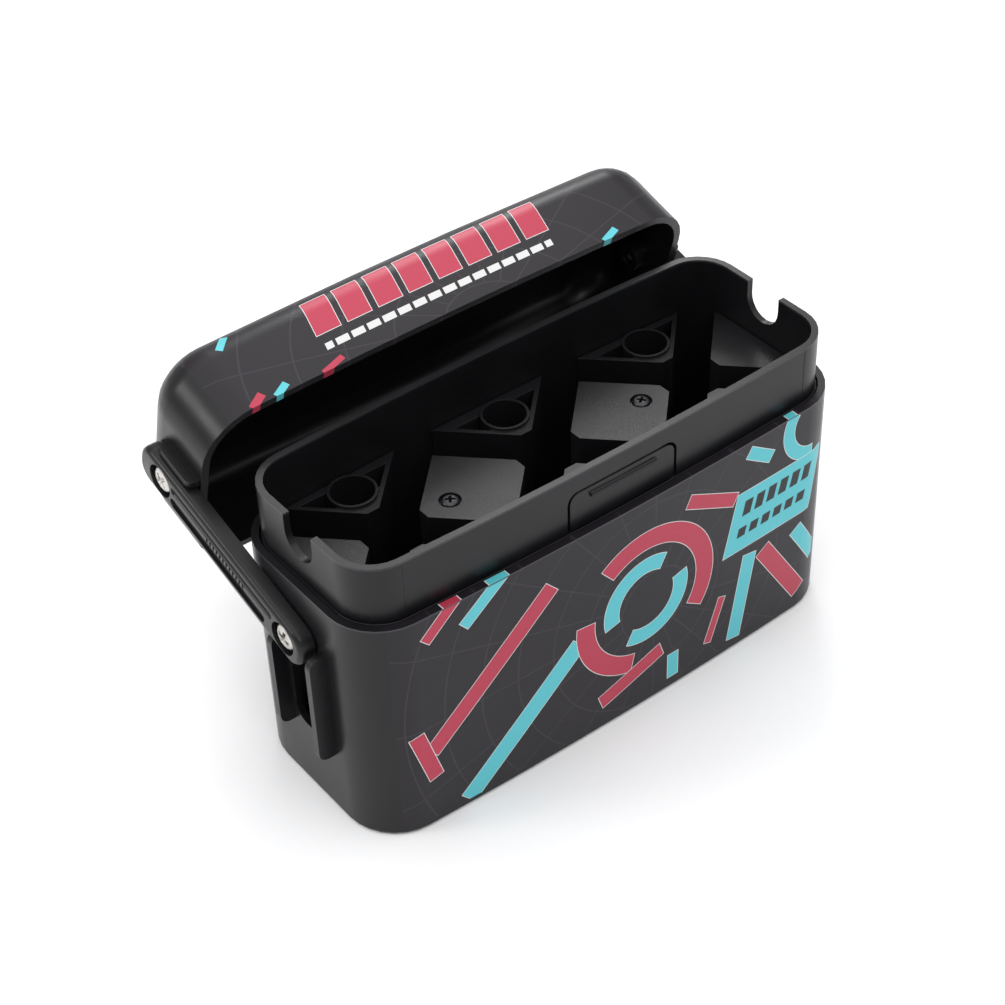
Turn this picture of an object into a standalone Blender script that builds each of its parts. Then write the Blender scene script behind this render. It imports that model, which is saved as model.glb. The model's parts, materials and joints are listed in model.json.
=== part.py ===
"""Hard darts case with a lift-and-swing lid.

An outer shell holds a liner whose collar stands above the shoulder, and the liner holds a block
with three cross-shaped flight wells and three round barrel wells. The lid hangs on two side arms.
The arms' lower screws run in upright slots in the ends of the shell: the lid is lifted off the
collar, then swung back until the arms lie on the rear guide fins. The case is modelled open.

X is the case's long axis, -Y its front, +Z up. The origin is the middle of the underside.
"""

import math

import bmesh
import bpy

# Overall sizes
BODY_LENGTH = 0.112
BODY_DEPTH = 0.0412
SIDE_BOW = 0.0015
BODY_CORNER = 0.0103
SHOULDER_HEIGHT = 0.0510
COLLAR_HEIGHT = 0.0120
LID_HEIGHT = 0.0198
LID_TOP_RADIUS = 0.0072
FIT_GAP = 0.0003

# Outer shell
SHELL_WALL = 0.0014
SHELL_FLOOR = 0.0018
SHELL_FOOT_RADIUS = 0.0010
POST_RADIUS = 0.0026
POST_PILOT_RADIUS = 0.00115
POST_PILOT_DEPTH = 0.0080

# Liner and its collar
COLLAR_SETBACK = 0.0023
COLLAR_END_RELIEF = 0.0004
COLLAR_WALL = 0.0013
LEDGE_DROP = 0.0004
LINER_FOOT_HEIGHT = 0.0060
LINER_FOOT_STEP = 0.0010
NOTCH_WIDTH = 0.0084
NOTCH_DEPTH = 0.0074

# Catch tongue in the front of the collar
CATCH_WIDTH = 0.0240
CATCH_OFFSET = 0.0011
CATCH_TOP_BELOW_RIM = 0.0043
CATCH_CORNER = 0.0020
CATCH_SLIT = 0.0006
CATCH_BEAD_LENGTH = 0.0150
CATCH_BEAD_RADIUS = 0.0005
CATCH_BEAD_BELOW_TOP = 0.0016

# Flight block
BLOCK_TOP_BELOW_RIM = 0.0113
WELL_PITCH = 0.0346
WELL_SLOT_WIDTH = 0.0072
WELL_TIP_TRIM = 0.0064
WELL_FLOOR = 0.0016
BLOCK_SKIN = 0.0020
BLOCK_WALL = 0.0012
BARREL_RADIUS = 0.00415
BARREL_FROM_BACK = 0.0078
BARREL_SET_BACK = BODY_DEPTH / 2 - BARREL_FROM_BACK
BARREL_WALL = 0.00055
BARREL_RING_HEIGHT = 0.0006
BACK_POCKET_DEPTH = 0.0140
BACK_POCKET_WALL = 0.0009
BACK_POCKET_START = 0.0112
BLOCK_SCREW_SHIFT = 0.0051
BLOCK_SCREW_OFFSET = WELL_PITCH / 2 + BLOCK_SCREW_SHIFT
BLOCK_SCREW_RECESS_RADIUS = 0.0021
BLOCK_SCREW_RECESS_DEPTH = 0.0008

# Arms, guide fins and slides
ARM_LENGTH = 0.0397
ARM_LOWER_END = 0.0055
ARM_UPPER_END = 0.0070
ARM_WIDTH = 0.0086
ARM_CORNER = 0.0036
ARM_THICKNESS = 0.0032
ARM_EDGE_RADIUS = 0.0012
ARM_POCKET_WIDTH = 0.0022
ARM_POCKET_SHIFT = 0.0015
ARM_POCKET_DEPTH = 0.0005
ARM_POCKET_START = 0.0055
ARM_POCKET_END = 0.0361
ARM_LEAN = math.radians(73.3)
ARM_SIDE_GAP = 0.0004
LID_PIVOT_HEIGHT = 0.0078
LIFT_TRAVEL = 0.0209
FIN_THICKNESS = 0.0015
FIN_REACH = 0.0033
FIN_BOTTOM = 0.0150
FIN_NOSE_RADIUS = 0.0020
FRONT_FIN_SETBACK = 0.0015
FRONT_FIN_RISE = 0.0026
LID_FIN_REACH = 0.0023
LID_FIN_ABOVE_PIVOT = 0.0034
LID_FIN_BELOW_PIVOT = 0.0073
SLIDE_NECK_WIDTH = 0.0074
SLIDE_NECK_HEIGHT = 0.0062
SLIDE_CORNER = 0.0024
SLIDE_FLANGE_MARGIN = 0.0011
SLIDE_FLANGE_THICKNESS = 0.0011

# Lid
LID_WALL = 0.0016
LID_SEAT_GAP = 0.0003
LID_BOSS_RADIUS = 0.0030
LID_BOSS_LENGTH = 0.0030

# Screws
ARM_SCREW_HEAD_RADIUS = 0.00275
ARM_SCREW_HEAD_HEIGHT = 0.0016
ARM_SCREW_SHANK_RADIUS = 0.0014
ARM_SCREW_RECESS_DEPTH = 0.0018
ARM_SCREW_RECESS_GAP = 0.0006
SLIDE_SCREW_LENGTH = 0.0042
LID_SCREW_LENGTH = 0.0056
BLOCK_SCREW_HEAD_RADIUS = 0.0017
BLOCK_SCREW_HEAD_HEIGHT = 0.0010
BLOCK_SCREW_SHANK_RADIUS = 0.0010
BLOCK_SCREW_LENGTH = 0.0080
SHANK_GAP = 0.00015

# Heights and places that follow from the sizes above
RIM_HEIGHT = SHOULDER_HEIGHT + COLLAR_HEIGHT
LEDGE_HEIGHT = SHOULDER_HEIGHT - LEDGE_DROP
LINER_BOTTOM = SHELL_FLOOR + FIT_GAP
LINER_FOOT_TOP = LINER_BOTTOM + LINER_FOOT_HEIGHT
CAVITY_INSET = COLLAR_SETBACK + COLLAR_WALL
BLOCK_BOTTOM = LINER_FOOT_TOP + FIT_GAP
BLOCK_TOP = RIM_HEIGHT - BLOCK_TOP_BELOW_RIM
BLOCK_INSET = CAVITY_INSET + FIT_GAP
BLOCK_HALF_DEPTH = BODY_DEPTH / 2 - BLOCK_INSET
BLOCK_HALF_LENGTH = BODY_LENGTH / 2 - BLOCK_INSET + COLLAR_END_RELIEF
WELL_BOTTOM = BLOCK_BOTTOM + WELL_FLOOR
POST_TOP = BLOCK_TOP - BLOCK_SKIN - FIT_GAP
CLOSED_PIVOT_HEIGHT = SHOULDER_HEIGHT + LID_SEAT_GAP + LID_PIVOT_HEIGHT - ARM_LENGTH
OPEN_PIVOT_HEIGHT = CLOSED_PIVOT_HEIGHT + LIFT_TRAVEL
END_FACE = BODY_LENGTH / 2
ARM_INNER_FACE = END_FACE + FIT_GAP
ARM_OUTER_FACE = ARM_INNER_FACE + ARM_THICKNESS
SCREW_SEAT = ARM_OUTER_FACE - ARM_SCREW_RECESS_DEPTH
CATCH_TOP = RIM_HEIGHT - CATCH_TOP_BELOW_RIM
CATCH_ROOT = LEDGE_HEIGHT + FIT_GAP
COLLAR_FRONT = BODY_DEPTH / 2 - COLLAR_SETBACK + SIDE_BOW
FIN_FACE = ARM_WIDTH / 2 + ARM_SIDE_GAP
REAR_FIN_TOP = (
    OPEN_PIVOT_HEIGHT
    + FIN_FACE / math.tan(ARM_LEAN)
    - ARM_WIDTH / 2 / math.sin(ARM_LEAN)
    - FIT_GAP
)

CORNER_STEPS = 7
BOW_STEPS = 8
ROUND_STEPS = 20
CUT_MARGIN = 0.002
WELD_DISTANCE = 1e-6

SIDES = {"left": -1, "right": 1}


# ---------------------------------------------------------------- scene


def clear_scene():
    for found in list(bpy.data.objects):
        bpy.data.objects.remove(found, do_unlink=True)


def new_collection(name):
    collection = bpy.data.collections.new(name)
    bpy.context.scene.collection.children.link(collection)
    return collection


clear_scene()
PARTS = new_collection("darts_case")
CUTTERS = new_collection("cutters")


def finish(name, colour, roughness, metallic=0.0):
    """A Principled material for one sub-part."""
    material = bpy.data.materials.new(name)
    material.use_nodes = True
    shader = material.node_tree.nodes["Principled BSDF"]
    shader.inputs["Base Color"].default_value = (*colour, 1.0)
    shader.inputs["Roughness"].default_value = roughness
    shader.inputs["Metallic"].default_value = metallic
    return material


SHELL_BLACK = finish("shell_black_plastic", (0.012, 0.012, 0.014), 0.38)
LINER_BLACK = finish("liner_black_plastic", (0.014, 0.014, 0.016), 0.42)
BLOCK_BLACK = finish("block_black_plastic", (0.016, 0.016, 0.018), 0.48)
LID_BLACK = finish("lid_black_plastic", (0.012, 0.012, 0.014), 0.36)
ARM_BLACK = finish("arm_black_plastic", (0.014, 0.014, 0.016), 0.30)
SLIDE_BLACK = finish("slide_black_plastic", (0.010, 0.010, 0.011), 0.45)
BRIGHT_STEEL = finish("bright_screw_steel", (0.72, 0.71, 0.69), 0.22, 1.0)
DARK_STEEL = finish("dark_screw_steel", (0.10, 0.10, 0.10), 0.35, 1.0)


def add_object(name, mesh, collection=PARTS, location=(0, 0, 0), rotation=(0, 0, 0)):
    made = bpy.data.objects.new(name, mesh)
    made.location = location
    made.rotation_euler = rotation
    collection.objects.link(made)
    return made


def as_cutter(made):
    """Moves a solid to the cutters, out of the render."""
    for collection in list(made.users_collection):
        collection.objects.unlink(made)
    CUTTERS.objects.link(made)
    made.hide_render = True
    made.display_type = "WIRE"
    return made


def boolean(target, tool, operation):
    tool.parent = target.parent
    step = target.modifiers.new(f"{operation.lower()}_{tool.name}", "BOOLEAN")
    step.operation = operation
    step.object = as_cutter(tool)
    step.solver = "EXACT"


def cut(target, *tools):
    for tool in tools:
        boolean(target, tool, "DIFFERENCE")


def join(target, *tools):
    for tool in tools:
        boolean(target, tool, "UNION")


# ---------------------------------------------------------------- outlines


def arc(centre_x, centre_y, radius, start, end, steps):
    """Points on an arc, angles in degrees, both ends included."""
    points = []
    for step in range(steps + 1):
        angle = math.radians(start + (end - start) * step / steps)
        points.append((centre_x + radius * math.cos(angle), centre_y + radius * math.sin(angle)))
    return points


def case_outline(inset=0.0, end_relief=0.0):
    """The case's plan, moved inward by inset: a rounded rectangle whose long sides bow out.

    An end relief leaves the two ends that much further out.
    """
    half_length = BODY_LENGTH / 2 - inset + end_relief
    half_depth = BODY_DEPTH / 2 - inset
    corner = BODY_CORNER - inset
    flat = half_length - corner
    points = []
    for turn, (side_x, side_y) in enumerate(((1, 1), (-1, 1), (-1, -1), (1, -1))):
        centre = (side_x * flat, side_y * (half_depth - corner))
        points += arc(*centre, corner, 90 * turn, 90 * (turn + 1), CORNER_STEPS)
        if turn in (0, 2):
            for step in range(1, BOW_STEPS):
                points.append((side_x * flat * (1 - 2 * step / BOW_STEPS), side_y * half_depth))
    return [(x, y + bow_at(x, y, half_length, half_depth)) for x, y in points]


def bow_at(x, y, half_length, half_depth):
    """How far the long sides' bow moves a point of the plan."""
    return SIDE_BOW * (y / half_depth) * (1 - (x / half_length) ** 2)


def collar_outline(inset):
    """The plan of the collar and of what stands inside it."""
    return case_outline(inset, COLLAR_END_RELIEF)


def slot_outline(half_width, half_height, corner):
    """An upright rectangle with rounded corners."""
    points = []
    for turn, (side_x, side_y) in enumerate(((1, 1), (-1, 1), (-1, -1), (1, -1))):
        centre = (side_x * (half_width - corner), side_y * (half_height - corner))
        points += arc(*centre, corner, 90 * turn, 90 * (turn + 1), 5)
    return points


def shifted(points, along_x, along_y):
    return [(x + along_x, y + along_y) for x, y in points]


# ---------------------------------------------------------------- solids


def prism(name, outline, bottom, top):
    """A flat outline in the XY plane, extruded from bottom to top, as a welded mesh."""
    curve = bpy.data.curves.new(name, "CURVE")
    curve.dimensions = "2D"
    curve.fill_mode = "BOTH"
    curve.extrude = (top - bottom) / 2
    spline = curve.splines.new("POLY")
    spline.points.add(len(outline) - 1)
    for point, (x, y) in zip(spline.points, outline):
        point.co = (x, y, 0.0, 1.0)
    spline.use_cyclic_u = True
    drawn = add_object(name + "_outline", curve, location=(0, 0, (bottom + top) / 2))
    bpy.context.view_layer.update()
    graph = bpy.context.evaluated_depsgraph_get()
    mesh = bpy.data.meshes.new_from_object(drawn.evaluated_get(graph))
    welded = bmesh.new()
    welded.from_mesh(mesh)
    bmesh.ops.remove_doubles(welded, verts=welded.verts, dist=WELD_DISTANCE)
    bmesh.ops.recalc_face_normals(welded, faces=welded.faces)
    welded.to_mesh(mesh)
    welded.free()
    solid = add_object(name, mesh)
    solid.matrix_world = drawn.matrix_world
    bpy.data.objects.remove(drawn, do_unlink=True)
    return solid


def end_prism(name, outline, inner, outer, side, location=(0, 0, 0)):
    """An outline drawn on the case's end (across, up), extruded along X from inner to outer."""
    drawn = [(side * across, up) for across, up in outline]
    solid = prism(name, drawn, inner, outer)
    depth = (inner + outer) / 2
    solid.location = (location[0] + side * depth, location[1], location[2])
    solid.rotation_euler = (math.pi / 2, 0, side * math.pi / 2)
    return solid


def box(name, low, high):
    mesh = bpy.data.meshes.new(name)
    shape = bmesh.new()
    bmesh.ops.create_cube(shape, size=1.0)
    size = [b - a for a, b in zip(low, high)]
    bmesh.ops.scale(shape, vec=size, verts=shape.verts)
    shape.to_mesh(mesh)
    shape.free()
    return add_object(name, mesh, location=[(a + b) / 2 for a, b in zip(low, high)])


def rod(name, radius, start, length, axis="Z", steps=ROUND_STEPS):
    """A cylinder that starts at a point and runs along +Z or +X, or back if length is negative."""
    mesh = bpy.data.meshes.new(name)
    shape = bmesh.new()
    bmesh.ops.create_cone(
        shape, cap_ends=True, segments=steps, radius1=radius, radius2=radius, depth=abs(length)
    )
    shape.to_mesh(mesh)
    shape.free()
    middle = list(start)
    middle[0 if axis == "X" else 2] += length / 2
    turn = (0, math.pi / 2, 0) if axis == "X" else (0, 0, 0)
    return add_object(name, mesh, location=middle, rotation=turn)


def round_edges(target, radius, segments, height):
    """Rounds the level edges of a prism at one height of its own frame."""
    mesh = target.data
    shape = bmesh.new()
    shape.from_mesh(mesh)
    weights = shape.edges.layers.float.new("bevel_weight_edge")
    for edge in shape.edges:
        level = all(abs(v.co.z - height) < WELD_DISTANCE for v in edge.verts)
        sharp = len(edge.link_faces) == 2 and edge.calc_face_angle() > math.radians(60)
        if level and sharp:
            edge[weights] = 1.0
    bmesh.ops.dissolve_limit(
        shape, angle_limit=math.radians(0.1), verts=shape.verts, edges=shape.edges
    )
    shape.to_mesh(mesh)
    shape.free()
    rounding = target.modifiers.new("rounded_edge", "BEVEL")
    rounding.limit_method = "WEIGHT"
    rounding.width = radius
    rounding.segments = segments
    rounding.use_clamp_overlap = False


def turned_screw(name, head_radius, head_height, shank_radius, length, material):
    """A pan-head screw on its own Z axis: the head's seat at 0, the shank downward."""
    crown = head_height * 0.45
    tip = shank_radius * 0.6
    profile = [(0.0, head_height)]
    profile.append((head_radius * 0.55, head_height * 0.93))
    profile.append((head_radius * 0.88, head_height * 0.70))
    profile.append((head_radius, crown))
    profile.append((head_radius, 0.0))
    profile.append((shank_radius, 0.0))
    profile.append((shank_radius, tip - length))
    profile.append((0.0, -length))
    mesh = bpy.data.meshes.new(name)
    points = [(radius, 0.0, height) for radius, height in profile]
    mesh.from_pydata(points, [(i, i + 1) for i in range(len(points) - 1)], [])
    screw = add_object(name, mesh)
    lathe = screw.modifiers.new("turned", "SCREW")
    lathe.steps = ROUND_STEPS
    lathe.render_steps = ROUND_STEPS
    lathe.use_merge_vertices = True
    lathe.merge_threshold = WELD_DISTANCE
    dress(screw, material)
    return screw


def dress(target, material):
    """Gives a sub-part its material and smooth shading on its round faces."""
    target.data.materials.append(material)
    target.data.shade_smooth()
    target.data.set_sharp_from_angle(angle=math.radians(35))


def pivot(name, parent, location, lean=0.0):
    """An empty on a joint's axis, leaning back from upright."""
    empty = add_object(name, None, location=location, rotation=(-lean, 0, 0))
    empty.parent = parent
    return empty


# ---------------------------------------------------------------- body


def slide_slot_outline():
    """The upright slot that a slide runs in, on the case's end."""
    bottom = CLOSED_PIVOT_HEIGHT - SLIDE_NECK_HEIGHT / 2 - FIT_GAP
    top = OPEN_PIVOT_HEIGHT + SLIDE_NECK_HEIGHT / 2 + FIT_GAP
    half_width = SLIDE_NECK_WIDTH / 2 + FIT_GAP
    outline = slot_outline(half_width, (top - bottom) / 2, SLIDE_CORNER + FIT_GAP)
    return shifted(outline, 0.0, (top + bottom) / 2)


def fin_outline(reach, bottom, top, root):
    """A guide fin's side view as (outward, up), with rounded outer corners."""
    nose = min(FIN_NOSE_RADIUS, reach * 0.7)
    points = [(-root, bottom)]
    points += arc(reach - nose, bottom + nose, nose, -90, 0, 5)
    points += arc(reach - nose, top - nose, nose, 0, 90, 5)
    points.append((-root, top))
    return points


def guide_fin(name, side_name, face, reach, bottom, top, root):
    """An upright fin beside an arm. Its arm side is at face, which is negative in front."""
    side = SIDES[side_name]
    outline = [(side * (END_FACE + out), up) for out, up in fin_outline(reach, bottom, top, root)]
    fin = prism(f"{name}_{side_name}", outline, 0.0, FIN_THICKNESS)
    fin.location = (0, face + math.copysign(FIN_THICKNESS / 2, face), 0)
    fin.rotation_euler = (math.pi / 2, 0, 0)
    return fin


def make_outer_shell():
    shell = prism("outer_shell", case_outline(), 0.0, SHOULDER_HEIGHT)
    round_edges(shell, SHELL_FOOT_RADIUS, 3, -SHOULDER_HEIGHT / 2)
    hollow = prism(
        "shell_hollow", case_outline(SHELL_WALL), SHELL_FLOOR, SHOULDER_HEIGHT + CUT_MARGIN
    )
    cut(shell, hollow)
    for name, side in SIDES.items():
        rear = (FIN_FACE, FIN_REACH, FIN_BOTTOM, REAR_FIN_TOP, SHELL_WALL / 2)
        front_face = -FIN_FACE - FRONT_FIN_SETBACK
        front_top = REAR_FIN_TOP + FRONT_FIN_RISE
        front = (front_face, FIN_REACH, FIN_BOTTOM, front_top, SHELL_WALL / 2)
        join(shell, guide_fin("rear_fin", name, *rear), guide_fin("front_fin", name, *front))
        slot = end_prism(
            f"slide_slot_{name}",
            slide_slot_outline(),
            END_FACE - SHELL_WALL - CUT_MARGIN / 4,
            END_FACE + CUT_MARGIN,
            side,
        )
        cut(shell, slot)
        foot = (side * BLOCK_SCREW_OFFSET, 0, SHELL_FLOOR / 2)
        join(shell, rod(f"post_{name}", POST_RADIUS, foot, POST_TOP - SHELL_FLOOR / 2))
        pilot = (side * BLOCK_SCREW_OFFSET, 0, POST_TOP - POST_PILOT_DEPTH)
        cut(shell, rod(f"pilot_{name}", POST_PILOT_RADIUS, pilot, POST_PILOT_DEPTH + CUT_MARGIN))
    dress(shell, SHELL_BLACK)


def catch_outline(widening):
    """The tongue's front view as (across, up), or its window's when widened."""
    half_width = CATCH_WIDTH / 2 + widening
    bottom = CATCH_ROOT - (FIT_GAP if widening else 0.0)
    top = CATCH_TOP + widening
    corner = CATCH_CORNER + widening
    points = [(-half_width, bottom), (half_width, bottom)]
    points += arc(half_width - corner, top - corner, corner, 0, 90, 5)
    points += arc(corner - half_width, top - corner, corner, 90, 180, 5)
    return shifted(points, CATCH_OFFSET, 0.0)


def front_prism(name, outline, near, far):
    """An outline drawn on the case's front (across, up), extruded along Y from near to far."""
    solid = prism(name, outline, near, far)
    solid.location = (0, (near + far) / 2, 0)
    solid.rotation_euler = (math.pi / 2, 0, 0)
    return solid


def make_inner_liner():
    liner = prism("inner_liner", collar_outline(COLLAR_SETBACK), LINER_BOTTOM, RIM_HEIGHT)
    sleeve = prism(
        "liner_sleeve", case_outline(SHELL_WALL + FIT_GAP), LINER_BOTTOM, LEDGE_HEIGHT
    )
    join(liner, sleeve)
    cavity = prism(
        "liner_cavity", collar_outline(CAVITY_INSET), LINER_FOOT_TOP, RIM_HEIGHT + CUT_MARGIN
    )
    foot = prism(
        "liner_foot",
        collar_outline(CAVITY_INSET + LINER_FOOT_STEP),
        LINER_BOTTOM - CUT_MARGIN,
        LINER_FOOT_TOP + CUT_MARGIN,
    )
    window = front_prism(
        "catch_window", catch_outline(CATCH_SLIT), -BODY_DEPTH, CAVITY_INSET - BODY_DEPTH / 2
    )
    cut(liner, cavity, foot, window)
    for name, side in SIDES.items():
        cut(liner, make_notch(name, side), make_slide_run(name, side))
    dress(liner, LINER_BLACK)


def make_notch(name, side):
    """The U-shaped notch in the collar's end that takes a lid boss."""
    half_width = NOTCH_WIDTH / 2
    bottom = RIM_HEIGHT - NOTCH_DEPTH
    outline = arc(0.0, bottom + half_width, half_width, 180, 360, 12)
    outline += [(half_width, RIM_HEIGHT + CUT_MARGIN), (-half_width, RIM_HEIGHT + CUT_MARGIN)]
    return end_prism(f"notch_{name}", outline, END_FACE - 2 * CAVITY_INSET, END_FACE, side)


def make_slide_run(name, side):
    """The room behind the shell's slot in which a slide's flange travels."""
    half_width = SLIDE_NECK_WIDTH / 2 + SLIDE_FLANGE_MARGIN + FIT_GAP
    half_height = SLIDE_NECK_HEIGHT / 2 + SLIDE_FLANGE_MARGIN + FIT_GAP
    outer = END_FACE - SHELL_WALL
    inner = outer - 2 * FIT_GAP - SLIDE_FLANGE_THICKNESS
    ends = sorted((side * inner, side * outer))
    low = (ends[0], -half_width, CLOSED_PIVOT_HEIGHT - half_height)
    high = (ends[1], half_width, OPEN_PIVOT_HEIGHT + half_height)
    return box(f"slide_run_{name}", low, high)


def make_catch_tongue():
    """The sprung tongue: the collar wall inside the U-shaped slit, with its snap bead."""
    tongue = prism("catch_tongue", collar_outline(COLLAR_SETBACK), CATCH_ROOT, RIM_HEIGHT)
    inside = prism(
        "catch_inside",
        collar_outline(CAVITY_INSET),
        CATCH_ROOT - CUT_MARGIN,
        RIM_HEIGHT + CUT_MARGIN,
    )
    cut(tongue, inside)
    shape = front_prism("catch_shape", catch_outline(0.0), -BODY_DEPTH, -BODY_DEPTH / 8)
    boolean(tongue, shape, "INTERSECT")
    bead_height = CATCH_TOP - CATCH_BEAD_BELOW_TOP
    start = (CATCH_OFFSET - CATCH_BEAD_LENGTH / 2, -COLLAR_FRONT, bead_height)
    join(tongue, rod("catch_bead", CATCH_BEAD_RADIUS, start, CATCH_BEAD_LENGTH, "X", 12))
    move_origin(tongue, (CATCH_OFFSET, -COLLAR_FRONT + COLLAR_WALL / 2, CATCH_ROOT))
    dress(tongue, LINER_BLACK)


def move_origin(target, place):
    """Puts an object's origin at a place without moving its shape."""
    shift = [a - b for a, b in zip(target.location, place)]
    shape = bmesh.new()
    shape.from_mesh(target.data)
    bmesh.ops.translate(shape, vec=shift, verts=shape.verts)
    shape.to_mesh(target.data)
    shape.free()
    target.location = place


# ---------------------------------------------------------------- flight block


def well_outline(centre_x):
    """A diagonal cross with its inner corners trimmed by a square."""
    notch = WELL_SLOT_WIDTH / math.sqrt(2)
    reach = WELL_PITCH / 2 + notch
    trim = WELL_TIP_TRIM
    quarter = [(trim, trim - notch), (reach, reach - notch), (reach - notch, reach), (trim - notch, trim)]
    points = []
    for turn in range(4):
        for x, y in quarter:
            for _ in range(turn):
                x, y = -y, x
            points.append((x + centre_x, y))
    return points


def diamond_pocket(centre_x):
    """The hollow under a diamond between two wells."""
    reach = (WELL_PITCH - math.sqrt(2) * WELL_SLOT_WIDTH) / 2 - math.sqrt(2) * BLOCK_WALL
    return [(centre_x + reach, 0), (centre_x, reach), (centre_x - reach, 0), (centre_x, -reach)]


def end_pocket(side):
    """The hollow under the half diamond at one end of the block."""
    reach = (WELL_PITCH - math.sqrt(2) * WELL_SLOT_WIDTH) / 2 - math.sqrt(2) * BLOCK_WALL
    centre_x = 1.5 * WELL_PITCH
    base = BLOCK_HALF_LENGTH - BLOCK_WALL
    half_base = reach - abs(centre_x - base)
    points = [(centre_x - reach, 0.0), (base, -half_base), (base, half_base)]
    return [(side * x, side * y) for x, y in points]


def front_pocket(centre_x):
    """The hollow under a front triangle."""
    tip = math.sqrt(2) * (WELL_SLOT_WIDTH / 2 + BLOCK_WALL)
    base = BLOCK_HALF_DEPTH - BLOCK_WALL
    trim = max(WELL_TIP_TRIM + BLOCK_WALL, tip)
    points = [(tip - trim, -trim), (tip - base, -base), (base - tip, -base), (trim - tip, -trim)]
    return shifted(points, centre_x, 0.0)


def back_pocket(centre_x):
    """The open hollow in a back triangle, round its barrel tube."""
    edge = math.sqrt(2) * (WELL_SLOT_WIDTH / 2 + BACK_POCKET_WALL)
    near = BACK_POCKET_START
    far = BLOCK_HALF_DEPTH - BACK_POCKET_WALL
    points = [(edge - near, near), (near - edge, near), (far - edge, far), (edge - far, far)]
    return shifted(points, centre_x, 0.0)


def make_flight_block():
    block = prism("flight_block", collar_outline(BLOCK_INSET), BLOCK_BOTTOM, BLOCK_TOP)
    pocket_top = BLOCK_TOP - BLOCK_SKIN
    pocket_bottom = BLOCK_BOTTOM - CUT_MARGIN
    well_top = BLOCK_TOP + CUT_MARGIN
    tube_foot = BLOCK_TOP - BACK_POCKET_DEPTH
    for index in (-1, 0, 1):
        centre_x = index * WELL_PITCH
        label = ("left", "middle", "right")[index + 1]
        cut(block, prism(f"back_pocket_{label}", back_pocket(centre_x), tube_foot, well_top))
        foot = (centre_x, BARREL_SET_BACK, tube_foot - BLOCK_SKIN)
        tube_length = BLOCK_TOP + BARREL_RING_HEIGHT - foot[2]
        join(block, rod(f"barrel_tube_{label}", BARREL_RADIUS + BARREL_WALL, foot, tube_length))
        cut(block, prism(f"well_{label}", well_outline(centre_x), WELL_BOTTOM, well_top))
        bore = (centre_x, BARREL_SET_BACK, WELL_BOTTOM)
        cut(block, rod(f"barrel_{label}", BARREL_RADIUS, bore, well_top - WELL_BOTTOM))
        pocket = prism(f"front_pocket_{label}", front_pocket(centre_x), pocket_bottom, pocket_top)
        cut(block, pocket)
    for name, side in SIDES.items():
        diamond = diamond_pocket(side * WELL_PITCH / 2)
        cut(block, prism(f"diamond_pocket_{name}", diamond, pocket_bottom, pocket_top))
        cut(block, prism(f"end_pocket_{name}", end_pocket(side), pocket_bottom, pocket_top))
        seat = (side * BLOCK_SCREW_OFFSET, 0, BLOCK_TOP - BLOCK_SCREW_RECESS_DEPTH)
        cut(block, rod(f"recess_{name}", BLOCK_SCREW_RECESS_RADIUS, seat, CUT_MARGIN))
        hole_radius = BLOCK_SCREW_SHANK_RADIUS + SHANK_GAP
        cut(block, rod(f"screw_hole_{name}", hole_radius, seat, -BLOCK_SKIN))
    dress(block, BLOCK_BLACK)


def make_block_screws():
    for name, side in SIDES.items():
        screw = turned_screw(
            f"block_screw_{name}",
            BLOCK_SCREW_HEAD_RADIUS,
            BLOCK_SCREW_HEAD_HEIGHT,
            BLOCK_SCREW_SHANK_RADIUS,
            BLOCK_SCREW_LENGTH,
            DARK_STEEL,
        )
        seat = BLOCK_TOP - BLOCK_SCREW_RECESS_DEPTH + FIT_GAP / 3
        screw.location = (side * BLOCK_SCREW_OFFSET, 0, seat)


# ---------------------------------------------------------------- slides and arms


def make_slides():
    """T-shaped slides: a neck in the shell's slot and a flange behind the shell's wall."""
    for name, side in SIDES.items():
        centre = (0, 0, OPEN_PIVOT_HEIGHT)
        neck = slot_outline(SLIDE_NECK_WIDTH / 2, SLIDE_NECK_HEIGHT / 2, SLIDE_CORNER)
        flange_outer = END_FACE - SHELL_WALL - FIT_GAP
        flange_inner = flange_outer - SLIDE_FLANGE_THICKNESS
        slide = end_prism(f"slide_{name}", neck, flange_inner, END_FACE, side, centre)
        half_width = SLIDE_NECK_WIDTH / 2 + SLIDE_FLANGE_MARGIN
        half_height = SLIDE_NECK_HEIGHT / 2 + SLIDE_FLANGE_MARGIN
        outline = slot_outline(half_width, half_height, SLIDE_CORNER)
        flange = end_prism(f"flange_{name}", outline, flange_inner, flange_outer, side, centre)
        join(slide, flange)
        start = (side * (END_FACE + CUT_MARGIN), 0, OPEN_PIVOT_HEIGHT)
        radius = ARM_SCREW_SHANK_RADIUS + SHANK_GAP
        cut(slide, rod(f"slide_bore_{name}", radius, start, -side * 4 * CUT_MARGIN, "X"))
        dress(slide, SLIDE_BLACK)


def arm_outline():
    """The arm's side view: a bar with round corners that reaches past its two pivots."""
    half_length = (ARM_LENGTH + ARM_LOWER_END + ARM_UPPER_END) / 2
    outline = slot_outline(ARM_WIDTH / 2, half_length, ARM_CORNER)
    return shifted(outline, 0.0, half_length - ARM_LOWER_END)


def pocket_outline():
    """The long shallow grip pocket in the arm's outer face, nearer to the arm's rear edge."""
    half_length = (ARM_POCKET_END - ARM_POCKET_START) / 2
    outline = slot_outline(ARM_POCKET_WIDTH / 2, half_length, ARM_POCKET_WIDTH * 0.49)
    return shifted(outline, ARM_POCKET_SHIFT, ARM_POCKET_START + half_length)


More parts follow.
